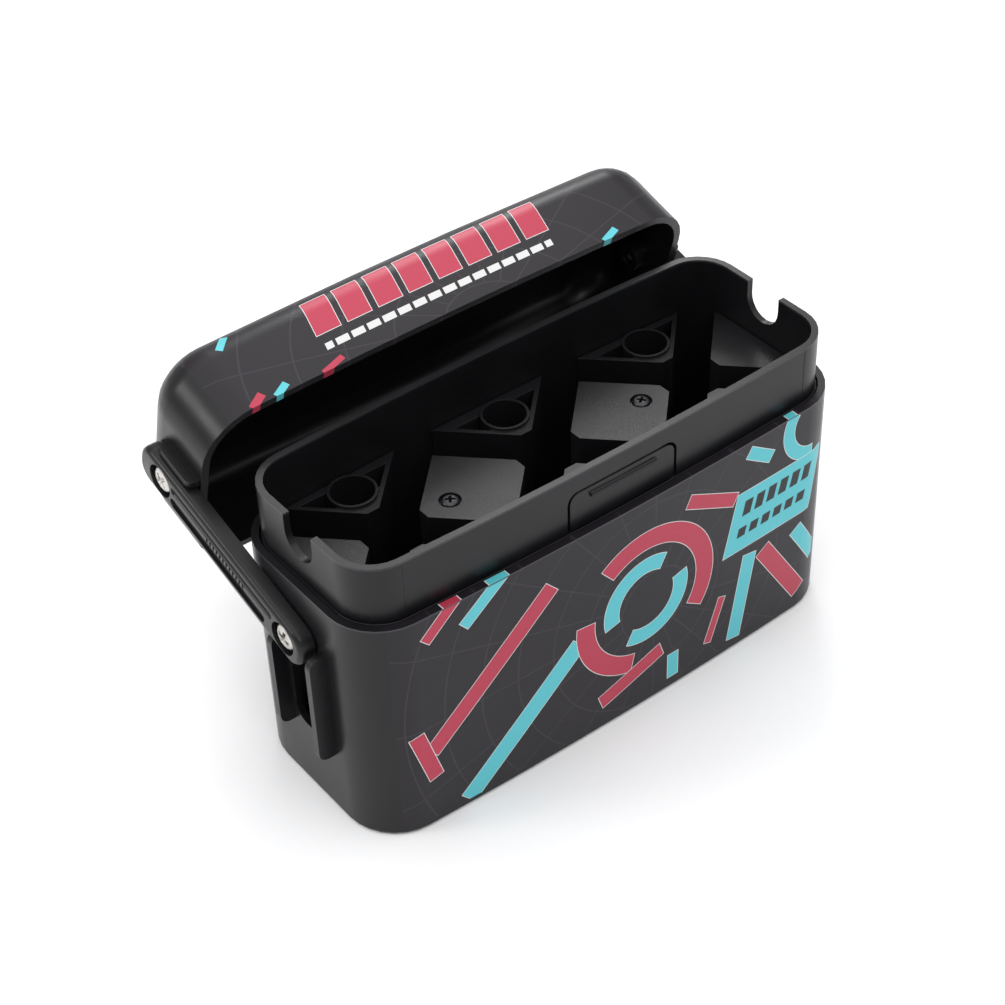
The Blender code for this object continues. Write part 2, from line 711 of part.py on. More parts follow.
def make_arms(swing):
    for name, side in SIDES.items():
        arm = end_prism(f"arm_{name}", arm_outline(), ARM_INNER_FACE, ARM_OUTER_FACE, side)
        round_edges(arm, ARM_EDGE_RADIUS, 3, ARM_THICKNESS / 2)
        arm.parent = swing
        pocket = end_prism(
            f"arm_pocket_{name}",
            pocket_outline(),
            ARM_OUTER_FACE - ARM_POCKET_DEPTH,
            ARM_OUTER_FACE + CUT_MARGIN,
            side,
        )
        cut(arm, pocket)
        for place, height in (("lower", 0.0), ("upper", ARM_LENGTH)):
            recess = (side * SCREW_SEAT, 0, height)
            recess_radius = ARM_SCREW_HEAD_RADIUS + ARM_SCREW_RECESS_GAP
            tool = rod(f"recess_{place}_{name}", recess_radius, recess, side * 2 * CUT_MARGIN, "X", 24)
            start = (side * (ARM_INNER_FACE - CUT_MARGIN), 0, height)
            radius = ARM_SCREW_SHANK_RADIUS + SHANK_GAP
            bore = rod(f"bore_{place}_{name}", radius, start, side * 3 * CUT_MARGIN, "X")
            cut(arm, tool, bore)
        dress(arm, ARM_BLACK)


def make_arm_screws(label, length, parent, height):
    """One screw through the lower or upper end of each arm, head outward."""
    for name, side in SIDES.items():
        screw = turned_screw(
            f"{label}_{name}",
            ARM_SCREW_HEAD_RADIUS,
            ARM_SCREW_HEAD_HEIGHT,
            ARM_SCREW_SHANK_RADIUS,
            length,
            BRIGHT_STEEL,
        )
        screw.parent = parent
        screw.location = (side * (SCREW_SEAT + FIT_GAP / 3), 0, height)
        screw.rotation_euler = (0, side * math.pi / 2, 0)


# ---------------------------------------------------------------- lid


def lid_prism(name, inset, bottom, top, radius):
    """The lid's outside or hollow, in the lid's own frame with its pivots at height 0."""
    solid = prism(name, case_outline(inset), bottom, top)
    round_edges(solid, radius, 6, (top - bottom) / 2)
    return solid


def make_lid(tilt):
    edge = -LID_PIVOT_HEIGHT
    top = edge + LID_HEIGHT
    lid = lid_prism("lid_shell", 0.0, edge, top, LID_TOP_RADIUS)
    lid.parent = tilt
    hollow = lid_prism(
        "lid_hollow", LID_WALL, edge - CUT_MARGIN, top - LID_WALL, LID_TOP_RADIUS - LID_WALL
    )
    cut(lid, hollow)
    for name, side in SIDES.items():
        size = (LID_FIN_REACH, -LID_FIN_BELOW_PIVOT, LID_FIN_ABOVE_PIVOT, LID_WALL / 2)
        rear = guide_fin("lid_rear_fin", name, FIN_FACE, *size)
        front = guide_fin("lid_front_fin", name, -FIN_FACE, *size)
        wall = side * (END_FACE - LID_WALL / 2)
        boss = rod(
            f"lid_boss_{name}",
            LID_BOSS_RADIUS,
            (wall, 0, 0),
            -side * (LID_BOSS_LENGTH + LID_WALL / 2),
            "X",
        )
        join(lid, rear, front, boss)
        start = (side * (END_FACE + CUT_MARGIN), 0, 0)
        radius = ARM_SCREW_SHANK_RADIUS + SHANK_GAP
        depth = -side * (LID_WALL + LID_BOSS_LENGTH + 2 * CUT_MARGIN)
        cut(lid, rod(f"lid_bore_{name}", radius, start, depth, "X"))
    dress(lid, LID_BLACK)


# ---------------------------------------------------------------- assembly


def build():
    make_outer_shell()
    make_inner_liner()
    make_catch_tongue()
    make_flight_block()
    make_block_screws()
    make_slides()
    make_arm_screws("slide_screw", SLIDE_SCREW_LENGTH, None, OPEN_PIVOT_HEIGHT)
    swing = pivot("lid_swing_axis", None, (0, 0, OPEN_PIVOT_HEIGHT), ARM_LEAN)
    make_arms(swing)
    tilt = pivot("lid_tilt_axis", swing, (0, 0, ARM_LENGTH))
    make_lid(tilt)
    make_arm_screws("lid_screw", LID_SCREW_LENGTH, tilt, 0.0)


build()
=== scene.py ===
"""Looks of a small darts case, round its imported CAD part: finished plastics, print and screws."""

import json
import math

import bmesh
import bpy
from mathutils import Matrix, Vector


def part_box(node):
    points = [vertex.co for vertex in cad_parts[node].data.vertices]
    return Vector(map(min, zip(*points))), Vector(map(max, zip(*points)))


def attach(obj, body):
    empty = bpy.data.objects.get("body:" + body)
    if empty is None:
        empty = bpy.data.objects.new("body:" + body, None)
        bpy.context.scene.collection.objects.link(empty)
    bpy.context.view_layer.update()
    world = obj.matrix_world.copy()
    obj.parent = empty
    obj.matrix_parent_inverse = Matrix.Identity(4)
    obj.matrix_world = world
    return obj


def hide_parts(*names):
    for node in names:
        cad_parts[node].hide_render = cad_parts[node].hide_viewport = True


bl_info = {
    "name": "Darts Case Looks",
    "version": (1, 0, 0),
    "blender": (4, 5, 0),
    "location": "View3D > Sidebar > Darts Case",
    "description": "Finished pieces, plastics, print and studio for a darts case",
    "category": "Object",
}

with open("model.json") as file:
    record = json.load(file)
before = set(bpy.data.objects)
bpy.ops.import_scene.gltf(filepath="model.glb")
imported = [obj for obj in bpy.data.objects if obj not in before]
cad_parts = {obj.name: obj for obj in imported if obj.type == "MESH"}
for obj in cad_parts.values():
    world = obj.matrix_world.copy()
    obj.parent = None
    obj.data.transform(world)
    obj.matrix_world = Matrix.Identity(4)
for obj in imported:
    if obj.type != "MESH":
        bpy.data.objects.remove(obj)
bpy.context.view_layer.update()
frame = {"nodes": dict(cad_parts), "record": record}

MM = 0.001
SIDES = ("left", "right")

# The case as its CAD part holds it, in metres.
OPEN_PIVOT_HEIGHT = 0.0403
ARM_LENGTH = 0.0397
ARM_LEAN = math.radians(73.3)
ARM_OUTER_FACE = 0.0594
LID_PIVOT_HEIGHT = 0.0078
RIM_HEIGHT = 0.063
BODY_LENGTH = 0.112
BODY_DEPTH = 0.0412
BODY_CORNER = 0.0103
SIDE_BOW = 0.0015
SHOULDER_HEIGHT = 0.051

# Finishing detail on the pieces, in metres.
CORNER_STEPS = 14
BOW_STEPS = 20
LEDGE_BEAD_INSET = 0.00198
LEDGE_BEAD_DROP = 0.00034
LEDGE_BEAD_RADIUS = 0.00016
MOULDING_LINE_ACROSS = 0.0458
MOULDING_LINE_START = SHOULDER_HEIGHT + 0.0008
MOULDING_LINE_END = RIM_HEIGHT - 0.0005
MOULDING_LINE_RADIUS = 0.00006
TONGUE_ROUND_SHARE = 0.6
ARM_ROUND = 0.00014
GROOVE_RADIUS = 0.0011
GROOVE_ENDS = (0.0046, 0.0352)
GROOVE_FORWARD = 0.0017
NOTCH_COUNT = 12
FIRST_NOTCH = 0.0125
NOTCH_STEP = 0.00105
NOTCH_ENDS = (0.0006, -0.0003)
NOTCH_OUTWARD = 0.00004
NOTCH_RADIUS = 0.00026

# Screws: shares of the head's radius, unless a name says of what, and how far each cross is turned.
HEAD_HEIGHT = 0.56
SHANK_RADIUS = 0.5
HEAD_ROUND = 0.03
CROWN_STEPS = 8
CROWN_RADIUS = 0.55
CROWN_DIP_OF_HEIGHT = 0.08
CROWN_DROP_OF_HEIGHT = 0.62
FACE_RADIUS = 0.3
FACE_DIP_OF_HEIGHT = 0.015
SKIRT_DROP_OF_HEIGHT = 0.9
SKIRT_RADIUS = 0.96
POINT_START_OF_LENGTH = 0.9
POINT_RADIUS_OF_SHANK = 0.7
BLADE_FACE_RISE = 0.1
BLADE_WAIST_OF_DEPTH = 0.35
BLADE_FACE = (0.60, 0.155)
BLADE_WAIST = (0.50, 0.125)
BLADE_TIP = (0.14, 0.08)
SLIDE_SCREW_TURN = 0.35
LID_SCREW_TURN = 0.9
BLOCK_SCREW_TURN = 0.6

# Mesh clean-up.
MERGE_DISTANCE = 1e-6
FLAT_ANGLE = math.radians(0.6)
ROUNDED_ANGLE = math.radians(32)
SHARP_ANGLE = math.radians(38)

# Camera: where it looks, its angles and its lens.
CAMERA_TARGET = Vector((0.00103, 0.01599, 0.0280))
CAMERA_AZIMUTH = math.radians(-36.54)
CAMERA_ELEVATION = math.radians(40.16)
CAMERA_ROLL = math.radians(2.267)
CAMERA_DISTANCE = 0.4256
CAMERA_SENSOR = 36.0
CAMERA_LENS = 78.52

# Studio: the floor, the plain world and each light's place, width, height and power.
FLOOR_REACH = 4.0
FLOOR_HEIGHT = -0.00005
WORLD_STRENGTH = 0.55
LIGHT_TARGET = (0.0, 0.01, 0.03)
LIGHTS = {
    "overhead": ((0.0, 0.0, 0.95), 1.6, 1.6, 11.0),
    "behind": ((0.42, 0.6, 0.5), 0.26, 0.26, 1.9),
    "left": ((-0.62, 0.3, 0.42), 0.2, 0.2, 1.2),
    "front": ((-0.3, -0.8, 0.75), 0.3, 0.12, 1.2),
}

# Plastics: sizes and depths in metres, the rest shares from 0 to 1.
PLASTIC_INDEX = 1.5
PLASTIC_SPECULAR = 0.28
BODY_ROUGHNESS = 0.27
LINER_ROUGHNESS = 0.25
BLOCK_ROUGHNESS = 0.26
ARM_ROUGHNESS = 0.24
SLIDE_ROUGHNESS = 0.36
FLOW_SIZE = 0.011
FLOW_STRETCH = (1.0, 1.0, 2.4)
FLOW_ROUGHNESS = 0.1
SKIN_SIZE = 0.00035
SKIN_ROUGHNESS = 0.05
SKIN_RELIEF = 0.35
SKIN_DEPTH = 0.00002
GRAIN_DEPTH = 0.00005
SPECK_CELL = 0.0042
SPECK_EDGES = (0.045, 0.02)
SPECK_PATCH_SIZE = 0.013
SPECK_PATCH_LEVEL = 0.58
SPECK_STRENGTH = 0.35
SPECK_ROUGHNESS = 0.1
# Size of the noise in the film's wear roughness and in the patches of the painted edge highlight.
WEAR_AND_HIGHLIGHT_SIZE = 0.006
WEAR_ROUGHNESS = 0.1
# The least strength of the painted edge highlight.
HIGHLIGHT_FLOOR = 0.5

# Metal and paper, in the same units.
BRIGHT_ROUGHNESS = 0.22
DARK_ROUGHNESS = 0.3
TARNISH_SIZE = 0.0012
TARNISH_EDGES = (0.45, 0.75)
TARNISH_ROUGHNESS = 0.12
TURNING_SIZE = 0.00012
TURNING_ROUGHNESS = 0.08
TURNING_DEPTH = 0.000012
FIBRE_SIZE = 0.0016
FIBRE_DEPTH = 0.00001
PAPER_ROUGHNESS = 0.8
FIBRE_ROUGHNESS = 0.15

# Shades of a colour: what it is multiplied by and what is added.
FLOW_SHADE = (1.9, 0.002)
DUST_SHADE = (6.0, 0.02)
# The paler colour of the painted highlight along upper edges.
EDGE_HIGHLIGHT_TINT = (5.0, 0.022)
BOARD_SHADE = (2.0, 0.004)
TARNISH_SHADE = (0.62, 0.0)
FIBRE_SHADE = (0.985, 0.0)

# A painted highlight line under an edge: where it grows and where it ends, in millimetres below the
# edge.
HIGHLIGHT_GROWS = (0.5, 0.2)
HIGHLIGHT_ENDS = (0.12, 0.02)

# The print: millimetres across the front and up from the foot.
PRINT_HALF_WIDTH = 50.5
PRINT_BOTTOM = 1.6
PRINT_TOP = 51.3
PRINT_LINE = 0.14
SHELL_PRINT_FACE = -18.6
LID_PRINT_FACE = -18.2
FILM_ROUGHNESS = 0.06
FILM_RELIEF = 0.4

# The faint rings and spokes under the print.
BOARD_CENTRE = (7.0, 25.0)
BOARD_RING_STEP = 8.0
BOARD_SPOKES = 20
BOARD_RING_LINE = 0.16
BOARD_SPOKE_LINE = 0.14
BOARD_RELIEF = 0.3
LID_BOARD_SCALE = 0.8
LID_BOARD_SHIFT = (4.0, 30.0)

# The front print's ring of arcs, and its slanted plate with two rows of slots. A row has its middle
# and its half height.
RING_CENTRE = (5, 27)
PLATE_CENTRE = (37.5, 32.5)
PLATE_HALF_SIZE = (11.5, 7.0)
PLATE_SLANT = 0.24
SLOT_ROW_HALF_LENGTH = 9.4
SLOT_SPACING = 3.14
SLOT_GAP = 0.5
SLOT_ROWS = ((35.4, 1.7), (29.9, 1.1))

# The lid's slanted row of blocks, and the dashed line under it.
LID_PRINT_SLANT = 0.22
LID_PRINT_SHIFT = 2.4
BLOCK_ROW_HALF_LENGTH = 27.5
BLOCK_MIDDLE = 11.6
BLOCK_HALF_HEIGHT = 4.0
BLOCK_SPACING = 6.875
BLOCK_GAP = 0.8
DASH_ROW_HALF_LENGTH = 26.0
DASH_MIDDLE = 4.7
DASH_HALF_HEIGHT = 0.75
DASH_SPACING = BLOCK_SPACING / 2
DASH_GAP = 0.34


# ---------------------------------------------------------------- sizes and colours


class DartsCaseSizes(bpy.types.PropertyGroup):
    """Sizes of the finishing detail."""

    rim_round: bpy.props.FloatProperty(
        name="Rim rounding",
        description="Rounding of the collar's, the catch's and the lid's edges",
        default=0.00032,
        min=0.00005,
        max=0.001,
        unit="LENGTH",
        precision=5,
    )
    seam_round: bpy.props.FloatProperty(
        name="Seam rounding",
        description="Rounding of the shell's upper edge along the seam and of the fins",
        default=0.00018,
        min=0.00005,
        max=0.0005,
        unit="LENGTH",
        precision=5,
    )
    block_round: bpy.props.FloatProperty(
        name="Block rounding",
        description="Rounding of the flight block's and the slides' edges",
        default=0.0002,
        min=0.00005,
        max=0.0005,
        unit="LENGTH",
        precision=5,
    )
    groove_depth: bpy.props.FloatProperty(
        name="Arm groove depth",
        description="Depth of the soft groove beside each arm's front ridge",
        default=0.00045,
        min=0.0001,
        max=0.001,
        unit="LENGTH",
        precision=5,
    )
    recess_depth: bpy.props.FloatProperty(
        name="Cross recess depth",
        description="Depth of the cross recess in each screw head, as a share of the head's width",
        default=0.6,
        min=0.1,
        max=0.7,
    )
    grain_size: bpy.props.FloatProperty(
        name="Grain size",
        description="Size of one grain of the spark-eroded texture",
        default=0.00022,
        min=0.00005,
        max=0.001,
        unit="LENGTH",
        precision=5,
    )


def colour_property(name, description, default):
    """A colour the panel can change."""
    return bpy.props.FloatVectorProperty(
        name=name,
        description=description,
        default=default,
        subtype="COLOR",
        size=3,
        min=0.0,
        max=1.0,
    )


class DartsCaseColours(bpy.types.PropertyGroup):
    """Colours of the plastics, the print and the metals."""

    plastic: colour_property("Plastic", "Black body plastic", (0.0042, 0.0042, 0.0050))
    ground: colour_property("Print ground", "Printed near-black ground", (0.0105, 0.0085, 0.0120))
    crimson: colour_property("Crimson", "Crimson print", (0.43, 0.036, 0.072))
    teal: colour_property("Teal", "Teal print", (0.095, 0.50, 0.56))
    white: colour_property("White", "White print lines", (0.62, 0.62, 0.62))
    steel: colour_property("Steel", "Nickel-plated screws", (0.56, 0.54, 0.51))
    dark_steel: colour_property("Dark steel", "Black-plated screws", (0.055, 0.055, 0.06))
    floor: colour_property("Floor", "Studio floor", (0.93, 0.93, 0.94))


# ---------------------------------------------------------------- shader maths


class Value:
    """One number in a shader, so that a mask reads as ordinary arithmetic."""

    def __init__(self, tree, socket):
        self.tree = tree
        self.socket = socket

    def apply(self, operation, *others, clamp=False):
        """A math node with this value first."""
        node = self.tree.nodes.new("ShaderNodeMath")
        node.operation = operation
        node.use_clamp = clamp
        for place, value in zip(node.inputs, (self, *others)):
            if isinstance(value, Value):
                self.tree.links.new(value.socket, place)
            else:
                place.default_value = value
        return Value(self.tree, node.outputs[0])

    def __add__(self, other):
        return self.apply("ADD", other)

    def __radd__(self, other):
        return self.apply("ADD", other)

    def __sub__(self, other):
        return self.apply("SUBTRACT", other)

    def __rsub__(self, other):
        return self.apply("MULTIPLY", -1.0).apply("ADD", other)

    def __mul__(self, other):
        return self.apply("MULTIPLY", other)

    def __truediv__(self, other):
        return self.apply("DIVIDE", other)

    def __abs__(self):
        return self.apply("ABSOLUTE")

    def below(self, limit):
        """1 where this is below the limit."""
        return self.apply("LESS_THAN", limit)

    def above(self, limit):
        """1 where this is above the limit."""
        return self.apply("GREATER_THAN", limit)

    def most(self, other):
        """The larger of two values."""
        return self.apply("MAXIMUM", other)

    def hypot(self, other):
        """The length of the vector with these two sides."""
        return (self * self + other * other).apply("SQRT")

    def repeat(self, length):
        """How far this value is from the nearest whole number of lengths."""
        return self.apply("PINGPONG", length / 2)

    def clamp(self):
        """This value kept between 0 and 1."""
        return self.apply("ADD", 0.0, clamp=True)


class Surface:
    """One material: a Principled shader and the nodes that feed it."""

    def __init__(self, name, **uniform):
        self.material = bpy.data.materials.new(name)
        self.material.use_nodes = True
        self.tree = self.material.node_tree
        self.shader = self.tree.nodes["Principled BSDF"]
        for socket, value in uniform.items():
            self.shader.inputs[socket.replace("_", " ")].default_value = value
        self.place = self.node("ShaderNodeTexCoord").outputs["Object"]
        self.axes = self.node("ShaderNodeSeparateXYZ", values={0: self.place}).outputs

    def node(self, kind, settings=None, values=None):
        """A node of this kind, with its settings, and its inputs set or linked."""
        node = self.tree.nodes.new(kind)
        for setting, value in (settings or {}).items():
            setattr(node, setting, value)
        for place, value in (values or {}).items():
            if isinstance(value, Value):
                value = value.socket
            if isinstance(value, bpy.types.NodeSocket):
                self.tree.links.new(value, node.inputs[place])
            else:
                node.inputs[place].default_value = value
        return node

    def axis(self, index, unit=MM):
        """One coordinate of the surface, in millimetres."""
        return Value(self.tree, self.axes[index]) / unit

    def noise(self, size, detail=3.0, stretch=(1.0, 1.0, 1.0)):
        """Noise from 0 to 1 with features of this size in metres."""
        scaled = self.node(
            "ShaderNodeVectorMath",
            {"operation": "MULTIPLY"},
            {0: self.place, 1: tuple(1.0 / part for part in stretch)},
        )
        texture = self.node(
            "ShaderNodeTexNoise",
            values={"Vector": scaled.outputs[0], "Scale": 1.0 / size, "Detail": detail},
        )
        return Value(self.tree, texture.outputs[0])

    def cells(self, size):
        """Distance to the nearest of many scattered points, in cells of this size in metres."""
        texture = self.node(
            "ShaderNodeTexVoronoi", values={"Vector": self.place, "Scale": 1.0 / size}
        )
        return Value(self.tree, texture.outputs["Distance"])

    def ramp(self, value, low, high):
        """0 below low, 1 above high, and smooth between them."""
        node = self.node(
            "ShaderNodeMapRange",
            {"interpolation_type": "SMOOTHSTEP"},
            {"Value": value, "From Min": low, "From Max": high},
        )
        return Value(self.tree, node.outputs[0])

    def blend(self, mask, base, over):
        """Base where the mask is 0, over where it is 1."""
        node = self.node(
            "ShaderNodeMix",
            {"data_type": "RGBA"},
            {0: mask, 6: as_colour(base), 7: as_colour(over)},
        )
        return node.outputs[2]

    def feed(self, socket, value):
        """Drives one of the shader's own inputs."""
        source = value.socket if isinstance(value, Value) else value
        self.tree.links.new(source, self.shader.inputs[socket])

    def bump(self, height, depth):
        """Fine relief, from a height of 0 to 1 over this depth in metres."""
        node = self.node(
            "ShaderNodeBump", values={"Height": height, "Distance": depth, "Strength": 1.0}
        )
        self.tree.links.new(node.outputs[0], self.shader.inputs["Normal"])


def as_colour(value):
    """A colour with its alpha, or the socket itself."""
    if isinstance(value, bpy.types.NodeSocket):
        return value
    return (*value[:3], 1.0)


def shade(colour, change):
    """A colour multiplied and lifted by the two numbers of a change."""
    gain, lift = change
    return [min(1.0, part * gain + lift) for part in colour]


# ---------------------------------------------------------------- print shapes


def bar(x, z, start, end, width):
    """How far a point lies outside a straight bar with square ends."""
    along = Vector(end) - Vector(start)
    length = along.length
    along.normalize()
    forward = (x - start[0]) * along.x + (z - start[1]) * along.y
    aside = (z - start[1]) * along.x - (x - start[0]) * along.y
    return (abs(aside) - width / 2).most(abs(forward - length / 2) - length / 2)


def arc(x, z, centre, radius, width, middle, half_sweep):
    """How far a point lies outside an arc, whose middle and half sweep are in degrees."""
    across = x - centre[0]
    rise = z - centre[1]
    heading = math.radians(middle)
    spread = math.radians(half_sweep)
    forward = across * math.cos(heading) + rise * math.sin(heading)
    aside = rise * math.cos(heading) - across * math.sin(heading)
    wedge = abs(aside) * math.cos(spread) - forward * math.sin(spread)
    ring = abs(across.hypot(rise) - radius) - width / 2
    return ring.most(wedge)


def slab(x, z, centre, half_width, half_height, slant):
    """How far a point lies outside a slanted block."""
    leant = x - (z - centre[1]) * slant - centre[0]
    return (abs(leant) - half_width).most(abs(z - centre[1]) - half_height)


def board_lines(x, z):
    """Faint rings and spokes, as 0 or 1."""
    across = x - BOARD_CENTRE[0]
    rise = z - BOARD_CENTRE[1]
    distance = across.hypot(rise)
    rings = distance.repeat(BOARD_RING_STEP).below(BOARD_RING_LINE)
    turn = rise.apply("ARCTAN2", across)
    step = 2 * math.pi / BOARD_SPOKES
    spokes = ((turn + math.pi).repeat(step) * distance).below(BOARD_SPOKE_LINE)
    return rings.most(spokes * distance.above(BOARD_RING_STEP))


# Each shape with its colour, from the lowest layer up. A bar has its two ends and its width, an arc
# its centre, radius, width, middle and half sweep, and a slab its centre, half sizes and slant.
FRONT_PRINT = (
    (bar, "crimson", (-44.2, 18.6), (-17, 43), 3.8),
    (bar, "teal", (-37, 2), (-11, 25.5), 4.2),
    (bar, "crimson", (-47, 24), (-43.5, 12), 3.0),
    (arc, "crimson", RING_CENTRE, 14.5, 4.2, 48, 82),
    (arc, "crimson", RING_CENTRE, 14.5, 4.2, 215, 42),
    (arc, "teal", RING_CENTRE, 8.4, 3.4, 128, 66),
    (arc, "teal", RING_CENTRE, 8.4, 3.4, 308, 66),
    (bar, "crimson", (-6, 7), (9, 12), 3.4),
    (bar, "teal", (12, 9), (12, 3), 2.6),
    (bar, "crimson", (15, 45), (27, 39), 3.0),
    (bar, "crimson", (21, 6), (24.5, 16), 1.8),
    (bar, "teal", (28, 3), (31.5, 23), 3.4),
    (bar, "crimson", (35, 22), (46, 5), 3.8),
    (bar, "teal", (44, 22), (50.4, 12), 3.2),
    (bar, "teal", (30, 48.5), (36, 44.5), 2.6),
    (arc, "teal", (47.5, 47), 7.0, 2.8, 205, 62),
    (slab, "teal", PLATE_CENTRE, *PLATE_HALF_SIZE, PLATE_SLANT),
    (bar, "crimson", (-44, 45.4), (-37, 52), 2.4),
    (bar, "teal", (-36, 44.6), (-27, 52), 2.6),
)
LID_TICKS = (
    (bar, "crimson", (-46, 0), (-43, 1.8), 1.6),
    (bar, "teal", (-41, 0), (-38, 1.6), 1.4),
    (bar, "crimson", (-31, 0), (-26, 1.4), 1.2),
    (bar, "teal", (34, 0), (38, 1.6), 1.4),
    (bar, "teal", (-44, 14), (-41, 17), 1.4),
)


def shapes_of(table, x, z, colours):
    """The shapes of a table, each with its colour."""
    return [(shape(x, z, *sizes), getattr(colours, fill)) for shape, fill, *sizes in table]


def paint(surface, colour, shapes, colours):
    """The shapes over the colour, each with a thin white line round it."""
    for shape, fill in shapes:
        outlined = surface.blend(shape.below(PRINT_LINE), colour, colours.white)
        colour = surface.blend(shape.below(0.0), outlined, fill)
    return colour


# ---------------------------------------------------------------- materials


def moulded(name, colours, roughness=BODY_ROUGHNESS, grain=0.0):
    """Black moulded plastic with slight flow marks, a dusting of specks and a fine skin."""
    surface = Surface(name, IOR=PLASTIC_INDEX, Specular_IOR_Level=PLASTIC_SPECULAR)
    flow = surface.noise(FLOW_SIZE, detail=2.0, stretch=FLOW_STRETCH)
    skin = surface.noise(SKIN_SIZE, detail=2.0)
    patches = surface.noise(SPECK_PATCH_SIZE, detail=1.0).above(SPECK_PATCH_LEVEL)
    specks = surface.ramp(surface.cells(SPECK_CELL), *SPECK_EDGES) * patches
    colour = surface.blend(flow, colours.plastic, shade(colours.plastic, FLOW_SHADE))
    colour = surface.blend(specks * SPECK_STRENGTH, colour, shade(colours.plastic, DUST_SHADE))
    finish = roughness + flow * FLOW_ROUGHNESS + skin * SKIN_ROUGHNESS + specks * SPECK_ROUGHNESS
    surface.feed("Roughness", finish)
    relief = skin * SKIN_RELIEF
    depth = SKIN_DEPTH
    if grain:
        relief = relief + surface.noise(grain)
        depth = GRAIN_DEPTH
    surface.bump(relief, depth)
    return surface, colour, relief, depth


def painted_edge_highlight(surface, colour, height, edge, colours):
    """The colour with a painted highlight line along the rounding just under an upper edge at a
    height in metres.
    """
    top = edge / MM
    below = surface.ramp(height, *(top - part for part in HIGHLIGHT_GROWS))
    line = below * (1 - surface.ramp(height, *(top - part for part in HIGHLIGHT_ENDS)))
    # Painted highlight: a paler line along the edge, made patchy with noise.
    highlighted = (line * (HIGHLIGHT_FLOOR + surface.noise(WEAR_AND_HIGHLIGHT_SIZE))).clamp()
    return surface.blend(highlighted, colour, shade(colours.plastic, EDGE_HIGHLIGHT_TINT))


def plain_plastic(name, colours, **finish):
    """Moulded plastic with nothing printed on it."""
    surface, colour, _, _ = moulded(name, colours, **finish)
    surface.feed("Base Color", colour)
    return surface.material


def liner_plastic(name, colours):
    """The liner's plastic, with a painted highlight along the edges of its collar."""
    surface, colour, _, _ = moulded(name, colours, roughness=LINER_ROUGHNESS)
    # A painted highlight line just under the collar's rim.
    highlighted = painted_edge_highlight(surface, colour, surface.axis(2), RIM_HEIGHT, colours)
    surface.feed("Base Color", highlighted)
    return surface.material


def plate_slots(x, z):
    """Two rows of slanted slots on the plate, as 0 or 1."""
    leant = x - (z - PLATE_CENTRE[1]) * PLATE_SLANT - PLATE_CENTRE[0]
    inside = (abs(leant) - SLOT_ROW_HALF_LENGTH).below(0.0)
    gaps = leant.repeat(SLOT_SPACING).above(SLOT_GAP)
    upper, lower = ((abs(z - middle) - half).below(0.0) for middle, half in SLOT_ROWS)
    return inside * gaps * upper.most(lower)


def film_finish(surface, on_front, relief, depth):
    """The printed film's own roughness, and its edge standing off the plastic."""
    worn = surface.noise(WEAR_AND_HIGHLIGHT_SIZE)
    finish = BODY_ROUGHNESS + worn * WEAR_ROUGHNESS + on_front * FILM_ROUGHNESS
    surface.feed("Roughness", finish)
    surface.bump(relief + on_front * FILM_RELIEF, depth)


def printed_shell(name, colours):
    """The shell's plastic with the generic print over its front."""
    surface, colour, relief, depth = moulded(name, colours)
    x = surface.axis(0)
    y = surface.axis(1)
    z = surface.axis(2)
    on_front = y.below(SHELL_PRINT_FACE) * (abs(x) - PRINT_HALF_WIDTH).below(0.0)
    on_front = on_front * z.above(PRINT_BOTTOM) * z.below(PRINT_TOP)
    lines = board_lines(x, z)
    film = surface.blend(lines, colours.ground, shade(colours.ground, BOARD_SHADE))
    film = paint(surface, film, shapes_of(FRONT_PRINT, x, z, colours), colours)
    film = surface.blend(plate_slots(x, z), film, colours.ground)
    printed = surface.blend(on_front, colour, film)
    # A painted highlight line just under the shell's upper edge at the seam.
    surface.feed("Base Color", painted_edge_highlight(surface, printed, z, SHOULDER_HEIGHT, colours))
    film_finish(surface, on_front, relief + lines * on_front * BOARD_RELIEF, depth)
    return surface.material


def printed_lid(name, colours):
    """The lid's plastic with a generic band of blocks and a dashed line on its front."""
    surface, colour, relief, depth = moulded(name, colours)
    x = surface.axis(0)
    y = surface.axis(1)
    rise = surface.axis(2) - OPEN_PIVOT_HEIGHT / MM
    depthwise = y * math.cos(ARM_LEAN) - rise * math.sin(ARM_LEAN)
    height = y * math.sin(ARM_LEAN) + rise * math.cos(ARM_LEAN)
    height = height - (ARM_LENGTH - LID_PIVOT_HEIGHT) / MM
    on_front = depthwise.below(LID_PRINT_FACE) * (abs(x) - PRINT_HALF_WIDTH).below(0.0)
    across_shift, rise_shift = LID_BOARD_SHIFT
    lines = board_lines(x * LID_BOARD_SCALE + across_shift, height + rise_shift)
    film = surface.blend(lines, colours.ground, shade(colours.ground, BOARD_SHADE))
    leant = x - height * LID_PRINT_SLANT + LID_PRINT_SHIFT
    row = (abs(leant) - BLOCK_ROW_HALF_LENGTH).most(abs(height - BLOCK_MIDDLE) - BLOCK_HALF_HEIGHT)
    blocks = (BLOCK_GAP - leant.repeat(BLOCK_SPACING)).most(row)
    film = paint(surface, film, [(blocks, colours.crimson)], colours)
    row = (abs(leant) - DASH_ROW_HALF_LENGTH).most(abs(height - DASH_MIDDLE) - DASH_HALF_HEIGHT)
    dashes = row.below(0.0) * leant.repeat(DASH_SPACING).above(DASH_GAP)
    film = surface.blend(dashes, film, colours.white)
    for shape, fill in shapes_of(LID_TICKS, x, height, colours):
        film = surface.blend(shape.below(0.0), film, fill)
    surface.feed("Base Color", surface.blend(on_front, colour, film))
    film_finish(surface, on_front, relief, depth)
    return surface.material


